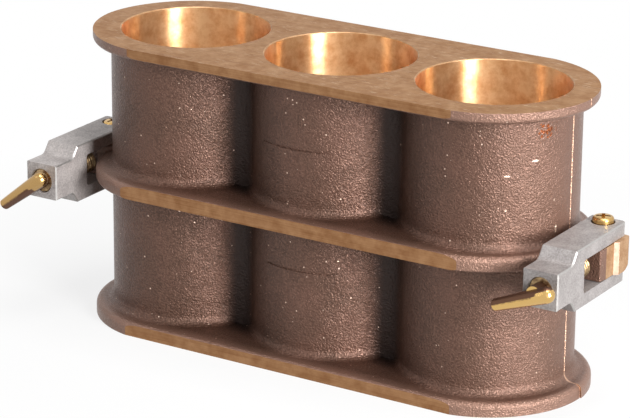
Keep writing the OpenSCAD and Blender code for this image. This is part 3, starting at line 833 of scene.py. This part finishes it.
class MOULD_OT_yokes(bpy.types.Operator):
    """Finish the two clamp yokes: tumbled castings with worn edges"""

    bl_idname = "mould.yokes"
    bl_label = "Yokes"

    def execute(self, context):
        looks = context.scene.mould_looks
        edges = [(worn_aluminium(looks), is_worn_edge)]
        # The left yoke's aluminium is a lighter copy, painted light, and the right yoke's a darker copy,
        # painted shade
        for name, dark, light in (
            ("right_yoke", looks.aluminium_shaded_dark, looks.aluminium_shaded_light),
            ("left_yoke", looks.aluminium_lit_dark, looks.aluminium_lit_light),
        ):
            finish_faces(NODES[name], tumbled_aluminium(name + "_aluminium", dark, light), edges)
        return {"FINISHED"}


class MOULD_OT_brass_parts(bpy.types.Operator):
    """Finish the pivot screws and the clamp handles in polished brass"""

    bl_idname = "mould.brass_parts"
    bl_label = "Pivot screws and handles"

    def execute(self, context):
        looks = context.scene.mould_looks
        brass = turned_brass(looks)
        for name in ("right_pivot_screw", "left_pivot_screw"):
            finish_faces(NODES[name], brass)
        # The right handle gets the painted dark reflection on its upper side, the left one on its lower side;
        # the other side keeps the brass colour
        for name, rubbed, dark_reflection_side in (
            ("right_clamp_handle", looks.brass_light, Vector((-0.3, 0.1, 0.95))),
            # The left handle's brass is the darker copy: painted shade
            ("left_clamp_handle", looks.brass_shaded_left, Vector((0.55, 0.1, -0.83))),
        ):
            low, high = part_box(name)
            heel = Vector((high.x, low.y, high.z)) - HEEL_INSET
            finish_faces(NODES[name], handled_brass(looks, name + "_brass", rubbed, dark_reflection_side, heel))
        return {"FINISHED"}


class MOULD_OT_clamp_screws(bpy.types.Operator):
    """Finish the clamp screws in threaded brass"""

    bl_idname = "mould.clamp_screws"
    bl_label = "Clamp screws"

    def execute(self, context):
        brass = threaded_brass(context.scene.mould_looks)
        for name in ("right_clamp_screw", "left_clamp_screw"):
            finish_faces(NODES[name], brass)
        return {"FINISHED"}


class MOULD_OT_dowels(bpy.types.Operator):
    """Finish the locating dowels in ground steel"""

    bl_idname = "mould.dowels"
    bl_label = "Dowels"

    def execute(self, context):
        finish_faces(NODES["locating_dowels"], ground_steel(context.scene.mould_looks))
        return {"FINISHED"}


def towards(heading, height):
    """Direction that points away from the mould, to the right of its front by heading and up by height."""
    level = math.cos(height)
    return Vector((math.sin(heading) * level, -math.cos(heading) * level, math.sin(height)))


def view_axes(stage):
    """Right, up and backward directions of the camera."""
    back = towards(stage.azimuth, stage.elevation)
    level = Vector((math.cos(stage.azimuth), math.sin(stage.azimuth), 0))
    up = back.cross(level)
    right = level * math.cos(stage.roll) + up * math.sin(stage.roll)
    up = up * math.cos(stage.roll) - level * math.sin(stage.roll)
    return right, up, back


def add_camera(stage):
    """Stands the camera where the photograph was taken from."""
    right, up, back = view_axes(stage)
    place = AIM_POINT - right * stage.aim_right - up * stage.aim_up + back * stage.distance
    data = bpy.data.cameras.new("camera")
    data.lens = stage.lens
    data.sensor_width = 36
    data.shift_x, data.shift_y = (shift / PHOTO_WIDTH_PX for shift in PHOTO_SHIFT_PX)
    data.clip_start = 0.05
    camera = bpy.data.objects.new("camera", data)
    camera.matrix_world = Matrix.Translation(place) @ Matrix((right, up, back)).transposed().to_4x4()
    bpy.context.scene.collection.objects.link(camera)
    bpy.context.scene.camera = camera


def add_softbox(stage, name, turn, height, distance, size, power):
    """Hangs a softbox at a turn to the right of the camera, aimed at the mould's middle."""
    place = AIM_POINT + distance * towards(stage.azimuth + math.radians(turn), math.radians(height))
    data = bpy.data.lights.new(name, "AREA")
    data.shape = "RECTANGLE"
    data.size, data.size_y = size
    data.energy = power
    lamp = bpy.data.objects.new(name, data)
    lamp.location = place
    lamp.rotation_euler = (AIM_POINT - place).to_track_quat("-Z", "Y").to_euler()
    bpy.context.scene.collection.objects.link(lamp)


def seen_directly(tree):
    """1 where something is seen directly, in a reflection or through glass, and 0 where it only lights."""
    rays = add_node(tree, "ShaderNodeLightPath").outputs
    seen = rays["Is Camera Ray"]
    for ray in ("Is Glossy Ray", "Is Transmission Ray"):
        seen = add_node(
            tree, "ShaderNodeMath", {"operation": "MAXIMUM"}, {0: seen, 1: rays[ray]}
        ).outputs["Value"]
    return seen


def seamless_paper(stage):
    """White seamless paper: it takes a soft shadow near the mould, and fades into the background."""
    material, tree, place = new_material("seamless_paper")
    lit = add_node(
        tree, "ShaderNodeBsdfDiffuse", {"Color": rgba([PAPER_REFLECTANCE * c for c in stage.paper])}
    )
    glow = add_node(
        tree, "ShaderNodeEmission", {"Color": rgba(stage.paper)}, {"Strength": seen_directly(tree)}
    )
    distance = add_node(tree, "ShaderNodeVectorMath", {"operation": "LENGTH"}, {0: place})
    fade = add_node(
        tree, "ShaderNodeMapRange", {"From Min": FADE_START, "From Max": FADE_END, "To Min": NEAR_WHITE},
        {"Value": distance.outputs["Value"]},
    )
    paper = add_node(
        tree, "ShaderNodeMixShader", {},
        {0: fade.outputs["Result"], 1: lit.outputs["BSDF"], 2: glow.outputs["Emission"]},
    )
    add_node(tree, "ShaderNodeOutputMaterial", {}, {"Surface": paper.outputs["Shader"]})
    return material


def add_floor(stage):
    """Lays the paper under the mould."""
    corners = [(x * FLOOR_HALF, y * FLOOR_HALF, 0) for x, y in ((-1, -1), (1, -1), (1, 1), (-1, 1))]
    mesh = bpy.data.meshes.new("floor")
    mesh.from_pydata(corners, [], [(0, 1, 2, 3)])
    mesh.materials.append(seamless_paper(stage))
    floor = bpy.data.objects.new("floor", mesh)
    floor.location.z = -FLOOR_DROP
    bpy.context.scene.collection.objects.link(floor)


def add_world(stage):
    """Surrounds the mould with a room that looks white and hardly lights it."""
    world = bpy.data.worlds.new("studio")
    world.use_nodes = True
    tree = world.node_tree
    tree.nodes.clear()
    strength = add_node(tree, "ShaderNodeMapRange", {"To Min": ROOM_LIGHT}, {"Value": seen_directly(tree)})
    light = add_node(
        tree, "ShaderNodeBackground", {"Color": rgba(stage.paper)}, {"Strength": strength.outputs["Result"]}
    )
    add_node(tree, "ShaderNodeOutputWorld", {}, {"Surface": light.outputs["Background"]})
    bpy.context.scene.world = world


class MOULD_OT_stage(bpy.types.Operator):
    """Set up the floor, the studio light and the camera"""

    bl_idname = "mould.stage"
    bl_label = "Stage"

    def execute(self, context):
        stage = context.scene.mould_stage
        add_floor(stage)
        add_world(stage)
        for softbox in SOFTBOXES:
            add_softbox(stage, **softbox)
        add_camera(stage)
        context.scene.view_settings.view_transform = "Standard"
        return {"FINISHED"}


class MOULD_PT_looks(bpy.types.Panel):
    """Lists the pieces to finish, with their colours"""

    bl_label = "Cylinder mould"
    bl_idname = "MOULD_PT_looks"
    bl_space_type = "VIEW_3D"
    bl_region_type = "UI"
    bl_category = "Cylinder mould"

    def draw(self, context):
        column = self.layout.column()
        for operator in OPERATORS:
            column.operator(operator.bl_idname)
        for group in (context.scene.mould_looks, context.scene.mould_stage):
            for name in group.__annotations__:
                column.prop(group, name)


OPERATORS = (
    MOULD_OT_half_moulds,
    MOULD_OT_yokes,
    MOULD_OT_brass_parts,
    MOULD_OT_clamp_screws,
    MOULD_OT_dowels,
    MOULD_OT_stage,
)
CLASSES = (MouldLooks, StageSettings, *OPERATORS, MOULD_PT_looks)


def register():
    for cls in CLASSES:
        bpy.utils.register_class(cls)
    bpy.types.Scene.mould_looks = bpy.props.PointerProperty(type=MouldLooks)
    bpy.types.Scene.mould_stage = bpy.props.PointerProperty(type=StageSettings)


def unregister():
    del bpy.types.Scene.mould_stage
    del bpy.types.Scene.mould_looks
    for cls in reversed(CLASSES):
        bpy.utils.unregister_class(cls)


def main():
    register()
    bpy.ops.mould.half_moulds()
    bpy.ops.mould.yokes()
    bpy.ops.mould.brass_parts()
    bpy.ops.mould.clamp_screws()
    bpy.ops.mould.dowels()
    bpy.ops.mould.stage()


if __name__ == "__main__":
    main()
